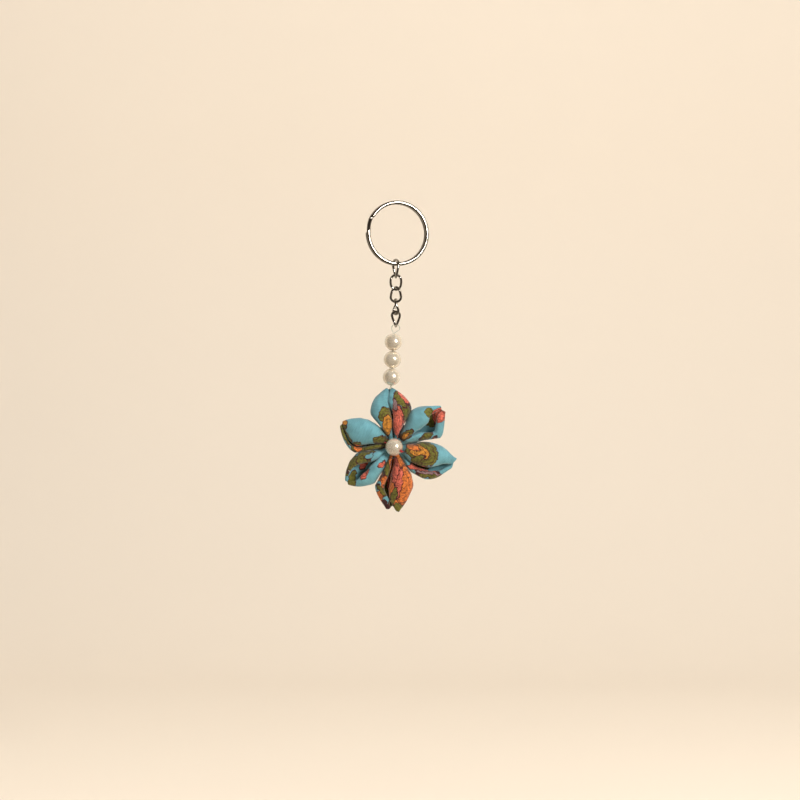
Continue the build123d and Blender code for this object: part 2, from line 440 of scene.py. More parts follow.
# %% Print colours
TEAL = (0.110, 0.275, 0.322, 1)
OLIVE = (0.118, 0.112, 0.016, 1)
GOLD = (0.460, 0.190, 0.024, 1)
ORANGE = (0.560, 0.150, 0.028, 1)
CORAL = (0.530, 0.112, 0.072, 1)
MAUVE = (0.210, 0.130, 0.130, 1)
MAROON = (0.050, 0.010, 0.010, 1)
WHITE = (0.700, 0.640, 0.560, 1)


def make_motif_group():
    """A group that lays one outlined oval over a colour. Lengths are in millimetres."""
    group = bpy.data.node_groups.new("motif", "ShaderNodeTree")
    face = group.interface
    for name, kind in (("Below", "Color"), ("Place", "Vector"), ("Centre", "Vector"), ("Size", "Vector"),
                       ("Turn", "Float"), ("Fill", "Color"), ("Line", "Color"), ("Rings", "Float"),
                       ("Outline", "Float")):
        face.new_socket(name, in_out="INPUT", socket_type=f"NodeSocket{kind}")
    face.new_socket("Color", in_out="OUTPUT", socket_type="NodeSocketColor")
    given = group.nodes.new("NodeGroupInput").outputs
    offset = vectors(group, "SUBTRACT", given["Place"], given["Centre"])
    turned = add_node(group, "ShaderNodeVectorRotate", {"Vector": offset, "Angle": given["Turn"]},
                      rotation_type="Z_AXIS").outputs[0]
    reach = vectors(group, "LENGTH", vectors(group, "DIVIDE", turned, given["Size"]))
    width = add_node(group, "ShaderNodeSeparateXYZ", {0: given["Size"]}).outputs[1]
    border = maths(group, "DIVIDE", given["Outline"], width)
    beyond = maths(group, "SUBTRACT", reach, border)
    lined = mixed(group, fade(group, beyond, 0.96, 1.04, 1.0, 0.0), given["Below"], given["Line"])
    inside = fade(group, reach, 0.96, 1.04, 1.0, 0.0)
    filled = mixed(group, inside, lined, given["Fill"])
    wave = maths(group, "PINGPONG", maths(group, "MULTIPLY", reach, given["Rings"]), 0.5)
    thin = maths(group, "MULTIPLY", fade(group, wave, 0.02, 0.13, 0.85, 0.0), inside)
    shown = maths(group, "MULTIPLY", thin, maths(group, "MINIMUM", given["Rings"], 1.0))
    final = mixed(group, shown, filled, given["Line"])
    end = group.nodes.new("NodeGroupOutput")
    group.links.new(final, end.inputs[0])
    return group


motif_group = make_motif_group()
print("motif group nodes:", len(motif_group.nodes))

# %% [markdown]
# ## Where the print lies on a petal
# The print is laid in millimetres from the flower's middle. Noise moves each place a little, which bends
# the plain ovals into leaves that look drawn by hand. The cloth goes round to the back, and the back must
# not mirror the front, so the print also slides sideways with the depth. Last come the thin inner lines of
# each leaf, which are the contour lines of a second, slower noise, on every colour but the teal ground.

# %% Print
MM_PER_METRE = (1000.0, 1000.0, 1000.0)
BEND_IN_PRINT = 1.5  # how far noise moves the print, in millimetres
OUTLINE = 0.28  # the width of a motif's dark line, in millimetres
SLIDE_ALONG = 0.9  # how far the print slides outwards for each millimetre of depth
SLIDE_ACROSS = 1.3  # and how far to the left


def plus_share(tree, value, other, share):
    """A value plus a share of another."""
    return maths(tree, "ADD", value, maths(tree, "MULTIPLY", other, share))


def print_places(tree, here, centre, out, left):
    """The plain place on the cloth in millimetres, and the same place moved by the drawing's noise."""
    offset = vectors(tree, "MULTIPLY", vectors(tree, "SUBTRACT", here, tuple(centre)), MM_PER_METRE)
    depth = maths(tree, "MAXIMUM", add_node(tree, "ShaderNodeSeparateXYZ", {0: offset}).outputs[1], 0.0)
    along = plus_share(tree, vectors(tree, "DOT_PRODUCT", offset, tuple(out)), depth, SLIDE_ALONG)
    across = plus_share(tree, vectors(tree, "DOT_PRODUCT", offset, tuple(left)), depth, SLIDE_ACROSS)
    flat = add_node(tree, "ShaderNodeCombineXYZ", {0: along, 1: across}).outputs[0]
    wander = noise_wire(tree, offset, 0.42, detail=2.5, output="Color")
    wander = vectors(tree, "SUBTRACT", wander, (0.5, 0.5, 0.5))
    place = vectors(tree, "ADD", flat, vectors(tree, "MULTIPLY", wander, (2 * BEND_IN_PRINT,) * 3))
    return flat, vectors(tree, "MULTIPLY", place, (1, 1, 0))


def lay_motifs(tree, ground, motifs, flat, place):
    """The print's colour, and where it is anything but the teal ground."""
    colour = ground
    for fill, far, to_left, half_length, half_width, turn, rings in motifs:
        values = {"Below": colour, "Place": place, "Centre": (far, to_left, 0), "Turn": -radians(turn),
                  "Size": (half_length, half_width, 1), "Fill": fill, "Line": MAROON,
                  "Rings": float(rings), "Outline": OUTLINE}
        colour = add_node(tree, "ShaderNodeGroup", values, node_tree=motif_group).outputs[0]
    from_teal = vectors(tree, "LENGTH", vectors(tree, "SUBTRACT", colour, TEAL[:3]))
    printed = fade(tree, from_teal, 0.02, 0.10)
    contour = maths(tree, "MULTIPLY", noise_wire(tree, flat, 0.16, detail=1.0), 11.0)
    contour = fade(tree, maths(tree, "PINGPONG", contour, 0.5), 0.03, 0.10, 0.7, 0.0)
    return mixed(tree, maths(tree, "MULTIPLY", contour, printed), colour, MAROON), printed


print("outline width of the print in mm:", OUTLINE)

# %% [markdown]
# ## Cotton under the print
# The weave comes from the cloth's own map, so it follows every fold: two sine waves cross as over-and-under
# threads, and noise stretched along one of them makes the thick and thin yarn of light cotton. Both shade
# the print and raise the surface. Folded edges are paler, because the dye wears off there first.

# %% Printed cotton
THREAD_PITCH = 0.30  # millimetres from one thread of the weave to the next
ALONG_WEFT = (0.25, 2.4, 1)
ALONG_PLEAT = (0.22, 0.08, 1)
COTTON_SHEEN = (0.9, 0.92, 0.9, 1)
WORN_COTTON = (0.62, 0.60, 0.54, 1)


def woven(tree, cloth):
    """The height of the plain weave, and its thick and thin yarn."""
    waves = vectors(tree, "MULTIPLY", cloth, (pi / THREAD_PITCH,) * 3)
    parts = add_node(tree, "ShaderNodeSeparateXYZ", {0: waves})
    warp = maths(tree, "SINE", parts.outputs[0])
    weft = maths(tree, "SINE", parts.outputs[1])
    weave = maths(tree, "MULTIPLY_ADD", maths(tree, "MULTIPLY", warp, weft), 0.5, 0.5)
    slub = noise_wire(tree, vectors(tree, "MULTIPLY", cloth, ALONG_WEFT), 1.2, detail=2.0)
    return weave, slub


def printed_cotton(name, ground, motifs, centre, out, left):
    """Cotton with a petal's own part of the print. Motifs are laid in the order given."""
    material, tree, shader, here = new_material(
        name, IOR=1.45, Sheen_Weight=0.22, Sheen_Roughness=0.5, Specular_IOR_Level=0.25)
    shader.inputs["Sheen Tint"].default_value = COTTON_SHEEN
    flat, place = print_places(tree, here, centre, out, left)
    colour, printed = lay_motifs(tree, ground, motifs, flat, place)
    cloth = add_node(tree, "ShaderNodeUVMap", uv_map="cloth").outputs[0]
    weave, slub = woven(tree, cloth)
    brush = fade(tree, noise_wire(tree, flat, 0.9), 0.35, 0.65, -0.36, 0.14)
    tone = fade(tree, noise_wire(tree, here, 180.0), 0.25, 0.8, 0.86, 1.18)
    for shade in (fade(tree, slub, 0.2, 0.8, 0.88, 1.12), fade(tree, weave, 0.0, 1.0, 0.84, 1.12),
                  maths(tree, "MULTIPLY_ADD", printed, brush, 1.0)):
        tone = maths(tree, "MULTIPLY", tone, shade)
    toned = scaled_by(tree, colour, tone)
    fold = add_node(tree, "ShaderNodeAttribute", attribute_name="fold_wear").outputs["Fac"]
    worn = mixed(tree, maths(tree, "MULTIPLY", fold, 0.16), toned, WORN_COTTON)
    thread_bump = bump(tree, maths(tree, "ADD", weave, slub), 0.04 * MM, 0.55)
    creases = vectors(tree, "MULTIPLY", cloth, ALONG_PLEAT)
    creases = noise_wire(tree, creases, 1.6, detail=4.0, rough=0.6)
    normal = bump(tree, creases, 0.55 * MM, 0.5, below=thread_bump)
    paint(tree, shader, Base_Color=worn, Roughness=fade(tree, weave, 0, 1, 0.92, 0.74), Normal=normal)
    return material


print("threads in a centimetre of cotton:", round(10 / THREAD_PITCH))

# %% [markdown]
# ## Petal shape
# Each petal is a 40 mm cotton square. It is folded on its diagonal, and the two long corners are brought
# to the right-angled one, which leaves four layers and a slit down the front. A thread gathers the raw
# edges, the pull makes the front flaps puff up on each side of the slit, and the far corner stays sharp.
# So a petal is a doubled cloth bent round like the letter C: across the back, round both edges, and in
# over the front to the slit. The grid below follows that path, outside layer first and inside layer back,
# and Solidify gives each layer its thickness. Curves along the petal set its width, its puff, where the
# slit runs and how far it gapes.

# %% Petal profiles
CLOTH = 0.17 * MM
PLY_GAP = 0.50 * MM
ROWS = 46
BACK_STEPS = 12
FRONT_STEPS = 20
INNER_END = 2.9 * MM
NEIGHBOUR_GAP = 0.12 * MM
# Each profile is (share of the petal's length, millimetres).
WIDTHS = ((0.0, 2.8), (0.1, 4.8), (0.2, 6.5), (0.32, 8.0), (0.45, 8.9), (0.56, 9.1), (0.68, 8.3),
          (0.8, 6.4), (0.9, 3.9), (0.96, 2.0), (1.0, 0.6))
PUFFS = ((0.0, 0.5), (0.06, 1.2), (0.13, 3.4), (0.25, 4.9), (0.45, 5.4), (0.65, 4.6), (0.82, 2.9),
         (0.93, 1.4), (1.0, 0.45))
BACKS = ((0.0, 2.4), (0.12, 4.3), (0.3, 4.8), (0.5, 4.4), (0.66, 3.5), (0.82, 2.2), (0.93, 1.0),
         (1.0, 0.4))


def along_curve(stations, share):
    """A smooth curve through (share, value) stations."""
    shares = [s for s, _ in stations]
    values = [v for _, v in stations]
    if share <= shares[0]:
        return values[0]
    if share >= shares[-1]:
        return values[-1]
    index = max(i for i, s in enumerate(shares) if s <= share)
    span = shares[index + 1] - shares[index]
    t = (share - shares[index]) / span

    def slope(i):
        if i == 0 or i == len(shares) - 1:
            j = max(i - 1, 0)
            return (values[j + 1] - values[j]) / (shares[j + 1] - shares[j])
        return (values[i + 1] - values[i - 1]) / (shares[i + 1] - shares[i - 1])

    leaving, arriving = slope(index) * span, slope(index + 1) * span
    before, after = values[index], values[index + 1]
    straight = (2 * t**3 - 3 * t**2 + 1) * before + (3 * t**2 - 2 * t**3) * after
    return straight + (t**3 - 2 * t**2 + t) * leaving + (t**3 - t**2) * arriving


print("widest half of a petal in mm:", max(width for _, width in WIDTHS))

# %% [markdown]
# ## One row of a petal
# A row is the cloth's path across the petal at one distance from the middle. It is made of two arms, right
# and left. Each arm starts at the middle of the back, goes round its edge and comes in over the front to
# the slit. A petal can't be wider than the wedge between its neighbours, so the row checks that first.
# Noise then adds what gathering does to cotton: fine pleats near the middle, and soft dents further out.

# %% Petal rows
NARROWEST = 0.9 * MM
EDGE_MARGIN = 0.8 * MM


def petal_section(share, reach, look):
    """One row of a petal across its C: (across, depth, wear) for each point, in metres."""
    far = INNER_END + share * (reach - INNER_END)
    lean = along_curve(look["lean"], share) * MM
    free = along_curve(WIDTHS, share) * MM
    tip = look["tip_half"] * MM * share**10
    halves = {}
    for side, way in ((-1, "right"), (1, "left")):
        room = far * tan(radians(look[f"free_{way}"])) - side * lean - NEIGHBOUR_GAP
        halves[side] = min(free * look[f"wide_{way}"], max(room, NARROWEST)) + tip
    puff = along_curve(PUFFS, share) * MM
    back = along_curve(BACKS, share) * (1 + (look["back"] - 1) * min(1, 2 * share)) * MM
    slit = along_curve(look["slit"], share)
    slit *= halves[1 if slit > 0 else -1]
    gape = along_curve(look["gape"], share) * MM
    row = []
    for side in (-1, 1):
        half = halves[side]
        edge = slit + side * gape / 2
        limits = [halves[way] - EDGE_MARGIN * min(1, halves[way] / (3 * MM)) for way in (-1, 1)]
        edge = max(-limits[0], min(limits[1], edge))
        lobe = puff * (0.55 + 0.45 * min(1.3, abs(side * half - edge) / max(half, 1e-6)))
        depth_at_slit = lobe * (1 - look["groove"])
        arm = []
        for step in range(BACK_STEPS):
            angle = pi / 2 * step / BACK_STEPS
            arm.append((side * half * sin(angle), back * cos(angle), 0.0))
        for step in range(FRONT_STEPS + 1):
            q = step / FRONT_STEPS
            across = side * half + (edge - side * half) * (1 - cos(pi * q)) / 2
            depth = -lobe * sin(pi * q) ** 0.85 - depth_at_slit * q * q
            wear = exp(-((q / 0.12) ** 2)) * 0.5 + exp(-(((1 - q) / 0.10) ** 2))
            arm.append((across, depth, wear))
        row.append(arm)
    return list(reversed(row[0])) + row[1][1:]


def wrinkle(share, turn, seed):
    """How far the cloth stands in or out of its smooth shape, as a share of a millimetre."""
    pleats = 0.45 * (1 - share) ** 1.4 * sin(turn * 10.0 + 2.0 * seed + 2.2 * share)
    soft = noise.noise(Vector((share * 3.1, turn * 1.8, seed * 7.7)))
    small = noise.noise(Vector((share * 8.0, turn * 4.4, seed * 3.1 + 40.0)))
    ridge = 1 - 2 * abs(noise.noise(Vector((share * 2.4 + 9.0, turn * 5.5 + share * 3.0, seed * 5.3))))
    calm = min(1.0, share * 6) * min(1.0, (1.02 - share) * 5)
    return pleats * min(1, share * 8) + calm * (0.75 * soft + 0.34 * small + 0.42 * max(0, ridge - 0.45))


print("points in a petal's row:", 2 * (BACK_STEPS + FRONT_STEPS) + 1)

# %% [markdown]
# ## The doubled cloth
# The cloth is folded double, so each row goes out along its outer layer, round the fold at the slit, and
# back along the inner layer. That closes the row into a loop, and loops from the middle to the tip make
# the petal. Each point also keeps its place on the flat cloth for the weave, and how worn it is.

# %% Petal mesh
ROW_BUNCHING = 0.94  # under 1, the rows stand closer near the tip
FOLD_REACH = 0.3 * PLY_GAP
NOTCH_WIDTH = 1.1 * MM


def directions(look):
    """Outwards along a petal, and to its left."""
    heading = radians(look["direction"])
    return Vector((cos(heading), 0, sin(heading))), Vector((-sin(heading), 0, cos(heading)))


def doubled_row(flat, share, look):
    """The closed loop of a row as (place in the row's plane, number of the point it came from)."""
    count = len(flat)
    outside, inside = [], []
    for i in range(count):
        run = (flat[min(i + 1, count - 1)] - flat[max(i - 1, 0)]).normalized()
        normal = Vector((run.y, -run.x))
        turn = (i / (count - 1) - 0.5) * 2
        move = wrinkle(share, turn, look["seed"]) * MM * look["wrinkle"]
        spot = flat[i] + normal * (-move)
        gap = PLY_GAP * min(1.0, (1 - share) * 14)
        outside.append(spot)
        inside.append(spot + normal * gap)
    fold_end = (outside[-1] + inside[-1]) / 2 + (flat[-1] - flat[-2]).normalized() * FOLD_REACH
    fold_start = (outside[0] + inside[0]) / 2 + (flat[0] - flat[1]).normalized() * FOLD_REACH
    there = list(enumerate(outside)) + [(count - 1, fold_end)]
    back = [(i, inside[i]) for i in reversed(range(count))] + [(0, fold_start)]
    return [(place, i) for i, place in there + back]


def make_petal(name, centre, look, reach, material):
    """The doubled cloth of one petal, before it has a thickness."""
    out, left = directions(look)
    points, maps, wears = [], [], []
    for row_number in range(ROWS + 1):
        share = (row_number / ROWS) ** ROW_BUNCHING
        section = petal_section(share, reach, look)
        flat = [Vector((across, depth)) for across, depth, _ in section]
        lengths = [0.0]
        for before, after in zip(flat, flat[1:]):
            lengths.append(lengths[-1] + (after - before).length)
        base = INNER_END + share * (reach - INNER_END)
        lean = along_curve(look["lean"], share) * MM
        lift = along_curve(look["lift"], share) * MM
        for place, i in doubled_row(flat, share, look):
            corner = look["corner"] * place.x * share**6
            notch = look["notch"] * MM * share**14 * exp(-((place.x / NOTCH_WIDTH) ** 2))
            far = base + corner - notch
            points.append(centre + out * far + left * (place.x + lean) + BACKWARDS * (place.y + lift))
            maps.append(((lengths[i] - lengths[-1] / 2) / MM, far / MM))
            wears.append(section[i][2])
    faces = grid_faces(ROWS + 1, len(points) // (ROWS + 1), columns_close=True)
    petal = object_from(name, points, faces, material)
    cloth_map = petal.data.uv_layers.new(name="cloth")
    for corner_data in petal.data.loops:
        cloth_map.data[corner_data.index].uv = maps[corner_data.vertex_index]
    wear = petal.data.attributes.new("fold_wear", "FLOAT", "POINT")
    wear.data.foreach_set("value", wears)
    return petal


def finish_petal(petal):
    """Close the tip, face the cloth outwards, and give it its thickness."""
    weld_and_turn_out(petal, 0.004 * MM)
    thick = petal.modifiers.new("cloth", "SOLIDIFY")
    thick.thickness = CLOTH
    thick.offset = -1
    thick.use_even_offset = False
    thick.use_rim = True
    smooth = petal.modifiers.new("smooth", "SUBSURF")
    smooth.levels = 1
    smooth.render_levels = 1
    smooth.boundary_smooth = "PRESERVE_CORNERS"
    petal = freeze(petal)
    petal.data.polygons.foreach_set("use_smooth", [True] * len(petal.data.polygons))
    return petal


print("rows in a petal:", ROWS + 1)

# %% [markdown]
# ## The six petals
# No two petals came out alike, so each has its own look: which way it points, where its slit runs from the
# middle to the tip, how wide the slit gapes, and which part of the print it caught. A slit value of 0 is
# the petal's middle line, 1 its left edge and -1 its right edge, seen looking outward. Each motif is:
# colour, how far out, how far to the left, half length, half width, turn in degrees, and inner lines.

# %% Petal looks
STRAIGHT = ((0, 0), (1, 0))


def petal_look(direction, free_left, free_right, seed, slit, gape, **changes):
    """A petal's measures, with what most petals share filled in. Angles are degrees, lengths millimetres."""
    look = {"direction": direction, "free_left": free_left, "free_right": free_right, "seed": seed,
            "slit": slit, "gape": gape, "wide_left": 1.0, "wide_right": 1.0, "tip_half": 0.3, "back": 1.0,
            "groove": 0.8, "wrinkle": 1.0, "corner": 0.0, "notch": 1.6, "lean": STRAIGHT, "lift": STRAIGHT}
    look.update(changes)
    return look


PETALS = {
    "petal_top": (
        petal_look(93.0, 33.0, 28.0, 1.0, ((0, 0), (0.5, 0.0), (0.8, 0.15), (1, 0.1)),
                   ((0, 0.1), (0.3, 0.1), (0.6, 0.5), (0.85, 0.4), (1, 0.5)), wide_left=1.06,
                   wide_right=1.02, notch=1.0, groove=0.6, lean=((0, 0), (0.7, 0.3), (1, 0.7))),
        TEAL,
        ((OLIVE, 14.5, -7.0, 6.5, 2.2, 10, 1.2), (ORANGE, 9.5, -5.0, 3.5, 1.3, 12, 1.0),
         (OLIVE, 21.5, -4.0, 4.0, 1.8, 32, 0), (CORAL, 23.5, -5.2, 4.5, 1.1, 35, 0),
         (OLIVE, 15.0, 3.2, 3.4, 2.9, 0, 2.0), (GOLD, 10.0, 2.6, 4.6, 2.1, -6, 3.0),
         (CORAL, 11.5, -2.4, 7.6, 2.5, 3, 2.4), (MAUVE, 19.5, -1.6, 2.6, 1.0, 6, 0)),
    ),
    "petal_upper_right": (
        petal_look(38.0, 26.5, 26.0, 2.0, ((0, 0), (0.35, -0.15), (0.6, -0.35), (0.8, -0.05), (1, 0)),
                   ((0, 0.3), (0.4, 1.0), (0.6, 4.6), (0.72, 4.4), (0.85, 1.5), (1, 0.7)),
                   tip_half=1.0, notch=0.9, groove=0.62, wide_left=0.88, wide_right=1.05, back=0.72,
                   lift=((0, 0), (0.55, 0), (0.85, -1.4), (1, -2.2))),
        TEAL,
        ((OLIVE, 8.0, 1.0, 3.6, 1.8, 0, 1.0), (GOLD, 7.4, 0.9, 2.0, 0.8, 0, 0),
         (OLIVE, 22.4, 1.4, 1.9, 3.6, 0, 0), (CORAL, 25.4, -1.2, 3.2, 3.0, 0, 1.3),
         (OLIVE, 14.4, -5.2, 2.8, 1.4, -8, 1.2), (CORAL, 15.8, -8.8, 2.4, 1.0, 10, 0)),
    ),
    "petal_lower_right": (
        petal_look(-11.0, 23.0, 46.0, 3.0, ((0, -0.5), (0.3, -0.62), (0.7, -0.55), (1, -0.3)),
                   ((0, 0.3), (0.5, 0.8), (0.75, 2.4), (0.92, 1.2), (1, 0.8)),
                   tip_half=1.8, corner=0.35, notch=0.5, groove=0.7, wide_left=0.56, wide_right=1.28,
                   lean=((0, 0), (0.6, 0), (1, -2.0))),
        TEAL,
        ((OLIVE, 13.0, -0.4, 7.4, 5.6, -8, 3.6), (GOLD, 11.8, 0.2, 4.6, 2.6, -18, 1.6),
         (ORANGE, 8.6, 1.6, 3.0, 1.2, -10, 0), (OLIVE, 10.6, -3.8, 4.4, 1.2, 30, 1.0),
         (CORAL, 14.2, -7.4, 7.0, 1.3, -3, 0),
         (MAUVE, 18.6, -9.0, 6.0, 1.1, 0, 0), (OLIVE, 19.6, -10.2, 6.0, 1.0, 2, 0),
         (TEAL, 5.4, -4.8, 3.4, 3.0, -20, 0)),
    ),
    "petal_bottom": (
        petal_look(-91.5, 34.5, 25.5, 4.0, ((0, 0), (0.35, -0.2), (0.65, -0.32), (1, -0.1)),
                   ((0, 0.3), (0.35, 1.0), (0.6, 2.6), (0.8, 1.0), (1, 1.0)),
                   tip_half=2.4, corner=0.22, notch=2.4, wide_left=0.99, wide_right=0.92),
        ORANGE,
        ((OLIVE, 9.5, -3.6, 6.0, 1.5, 8, 1.3), (TEAL, 18.0, -7.2, 2.3, 1.6, 0, 0),
         (OLIVE, 20.5, -4.6, 4.2, 1.1, 40, 0), (ORANGE, 15.5, -3.8, 2.8, 1.5, 15, 1.0),
         (TEAL, 24.2, -3.0, 1.9, 1.4, 20, 0), (CORAL, 11.0, 0.8, 6.2, 2.0, 6, 1.7),
         (ORANGE, 16.8, 5.2, 9.0, 3.8, -6, 4.2), (CORAL, 16.5, 2.6, 6.4, 1.3, -8, 0),
         (OLIVE, 22.8, 0.4, 4.4, 1.1, -16, 0),
         (OLIVE, 28.4, 2.6, 2.4, 3.0, 0, 0), (MAROON, 27.8, -3.6, 3.2, 2.2, 20, 0)),
    ),
    "petal_lower_left": (
        petal_look(-143.0, 26.0, 28.5, 5.0, ((0, 0.1), (0.3, -0.05), (0.65, -0.15), (1, -0.1)),
                   ((0, 0.3), (0.35, 1.4), (0.6, 5.0), (0.78, 5.4), (0.92, 2.0), (1, 0.9)),
                   tip_half=0.3, notch=0.8, wide_left=0.9, wide_right=0.86, groove=0.6, back=0.8),
        TEAL,
        ((OLIVE, 20.5, -5.0, 9.0, 3.4, -12, 1.7), (OLIVE, 13.0, -5.0, 5.0, 2.4, 5, 2.0),
         (TEAL, 11.6, -3.6, 1.9, 1.0, 0, 0), (OLIVE, 25.6, 1.4, 3.2, 1.8, 40, 0),
         (WHITE, 20.6, -1.8, 3.4, 0.35, -30, 0), (CORAL, 17.9, 1.0, 3.2, 1.7, 28, 1.6),
         (CORAL, 9.2, 3.0, 1.9, 1.2, 0, 1.0)),
    ),
    "petal_upper_left": (
        petal_look(156.0, 32.5, 30.0, 6.0, ((0, 0.1), (0.3, 0.55), (0.65, 0.72), (0.88, 0.5), (1, 0.2)),
                   ((0, 0.3), (0.4, 0.5), (0.7, 0.9), (0.9, 0.8), (1, 0.8)), notch=0.8, wrinkle=0.8,
                   wide_left=1.05, wide_right=0.72),
        TEAL,
        ((OLIVE, 7.0, -0.2, 3.4, 1.9, 20, 1.4), (OLIVE, 9.0, 4.2, 6.4, 1.3, 32, 1.2),
         (OLIVE, 15.0, 7.0, 3.2, 2.2, 0, 0), (ORANGE, 15.0, 7.2, 2.0, 1.4, 0, 0),
         (OLIVE, 22.8, 4.2, 5.0, 1.2, -30, 0), (OLIVE, 26.4, 0.4, 2.6, 1.8, 0, 0),
         (GOLD, 26.6, -1.0, 2.4, 1.4, 0, 0)),
    ),
}

print("petals:", len(PETALS))

# %% [markdown]
# ## Sewing the petals together
# Each petal reaches as far as its engineering node does. All six ride on the flower's body. Each was
# folded from a flat 40 mm square of cotton and is gathered by the thread.

# %% Sew the petals
flower_centre = Vector((flower_pearl.x, 0, flower_pearl.z))
for node_name, (look, ground, motifs) in PETALS.items():
    out, left = directions(look)
    reach = max((v.co - flower_centre).dot(out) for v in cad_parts[node_name].data.vertices)
    cotton = printed_cotton(f"{node_name}_cotton", ground, motifs, flower_centre, out, left)
    petal = make_petal(f"{node_name}_cloth", flower_centre, look, reach, cotton)
    petal = finish_petal(petal)
    settle(petal, "flower", "printed_cotton", node_name)

# %% [markdown]
# ## Geometry Nodes for thread
# Sewing thread is two fine plies wound round each other. A node tree makes it from any path: it walks the
# path in small even steps, moves two copies of it out to opposite sides while turning them, and gives each
# copy a round section. The same tree serves the red thread, its knot and the gathering thread, so a
# thicker or tighter thread is only a change of inputs.

# %% Node tree inputs
def make_tree(name, sockets):
    """A Geometry Nodes tree with named inputs, and each input's identifier."""
    tree = bpy.data.node_groups.new(name, "GeometryNodeTree")
    tree.interface.new_socket("Geometry", in_out="INPUT", socket_type="NodeSocketGeometry")
    tree.interface.new_socket("Geometry", in_out="OUTPUT", socket_type="NodeSocketGeometry")
    identifiers = {}
    for socket_name, kind in sockets:
        made = tree.interface.new_socket(socket_name, in_out="INPUT", socket_type=f"NodeSocket{kind}")
        identifiers[socket_name] = made.identifier
    return tree, identifiers, tree.nodes.new("NodeGroupInput").outputs


def close_tree(tree, geometry, material_socket):
    """Realize what the tree made, give it its material, and send it out."""
    real = add_node(tree, "GeometryNodeRealizeInstances", {0: geometry})
    shaded = add_node(tree, "GeometryNodeSetShadeSmooth", {0: real.outputs[0]})
    done = add_node(tree, "GeometryNodeSetMaterial", {0: shaded.outputs[0], "Material": material_socket})
    end = tree.nodes.new("NodeGroupOutput")
    tree.links.new(done.outputs[0], end.inputs[0])


def grow(made, tree, identifiers, **values):
    """Run a tree on an object with these inputs, and keep the result as a plain mesh."""
    modifier = made.modifiers.new(tree.name, "NODES")
    modifier.node_group = tree
    for key, value in values.items():
        modifier[identifiers[key]] = value
    made.update_tag()
    return freeze(made)


print("tree helpers ready")

# %% Two-ply thread tree
STEPS_IN_A_TURN = 12.0


def make_thread_tree():
    """Two round plies wound about the incoming curve."""
    tree, ids, given = make_tree("two_ply_thread", (
        ("Ply_radius", "Float"), ("Ply_offset", "Float"), ("Turn_length", "Float"),
        ("Thread_material", "Material")))
    step = maths(tree, "DIVIDE", given["Turn_length"], STEPS_IN_A_TURN)
    walked = add_node(tree, "GeometryNodeResampleCurve", {"Curve": given["Geometry"], "Length": step},
                      mode="LENGTH")
    gone = tree.nodes.new("GeometryNodeSplineParameter").outputs["Length"]
    turns = maths(tree, "DIVIDE", gone, given["Turn_length"])
    normal = tree.nodes.new("GeometryNodeInputNormal").outputs[0]
    tangent = tree.nodes.new("GeometryNodeInputTangent").outputs[0]
    other = vectors(tree, "CROSS_PRODUCT", tangent, normal)
    section = add_node(tree, "GeometryNodeCurvePrimitiveCircle",
                       {"Resolution": 7, "Radius": given["Ply_radius"]})
    joined = tree.nodes.new("GeometryNodeJoinGeometry")
    for phase in (0.0, pi):
        angle = maths(tree, "MULTIPLY_ADD", turns, 2 * pi, phase)
        ways = []
        for direction, operation in ((normal, "COSINE"), (other, "SINE")):
            amount = maths(tree, "MULTIPLY", maths(tree, operation, angle), given["Ply_offset"])
            ways.append(scaled_by(tree, direction, amount))
        moved = add_node(tree, "GeometryNodeSetPosition",
                         {0: walked.outputs[0], "Offset": vectors(tree, "ADD", *ways)})
        ply = add_node(tree, "GeometryNodeCurveToMesh", {0: moved.outputs[0], 1: section.outputs[0]})
        ply.inputs["Fill Caps"].default_value = True
        tree.links.new(ply.outputs[0], joined.inputs[0])
    close_tree(tree, joined.outputs[0], given["Thread_material"])
    return tree, ids


thread_tree, thread_inputs = make_thread_tree()
print("thread tree nodes:", len(thread_tree.nodes))

# %% [markdown]
# ## Thread finish
# Spun polyester thread has a soft shine and fine fibres along each ply. One finish serves both threads, and
# only its two colours differ.

# %% Thread finish
RED_DARK, RED_LIGHT = (0.30, 0.006, 0.010, 1), (0.55, 0.020, 0.030, 1)
TEAL_DARK, TEAL_LIGHT = (0.09, 0.20, 0.23, 1), (0.16, 0.30, 0.34, 1)
PLY_THICKNESS = 0.54  # a ply's radius, as a share of the whole thread's
PLY_SPACING = 0.48  # how far a ply's middle lies from the thread's middle


def thread_finish(name, dark, light):
    """Spun polyester in two close colours."""
    material, tree, shader, here = new_material(name, Sheen_Weight=0.3, Sheen_Roughness=0.4, IOR=1.5)
    fibres = noise_wire(tree, here, 14000.0, detail=2.0)
    colour = mixed(tree, fade(tree, fibres, 0.3, 0.7), dark, light)
    rough = fade(tree, fibres, 0.2, 0.8, 0.45, 0.7)
    paint(tree, shader, Base_Color=colour, Roughness=rough, Normal=bump(tree, fibres, 1.5e-5, 0.6))
    return material


red_thread = thread_finish("red_thread", RED_DARK, RED_LIGHT)
gather_thread = thread_finish("gather_thread", TEAL_DARK, TEAL_LIGHT)


def sewn_thread(name, paths, radius, turn, material):
    """Thread along one or more paths. A path is its points and whether it closes on itself."""
    data = bpy.data.curves.new(name, "CURVE")
    data.dimensions = "3D"
    for points, closed in paths:
        spline = data.splines.new("NURBS")
        spline.points.add(len(points) - 1)
        for slot_point, place in zip(spline.points, points):
            slot_point.co = (*place, 1)
        spline.order_u = 3
        spline.use_cyclic_u = closed
        spline.use_endpoint_u = not closed
        spline.resolution_u = 12
    made = bpy.data.objects.new(name, data)
    bpy.context.scene.collection.objects.link(made)
    return grow(made, thread_tree, thread_inputs, Ply_radius=radius * PLY_THICKNESS,
                Ply_offset=radius * PLY_SPACING, Turn_length=turn, Thread_material=material)


print("thread colours:", red_thread.name, gather_thread.name)

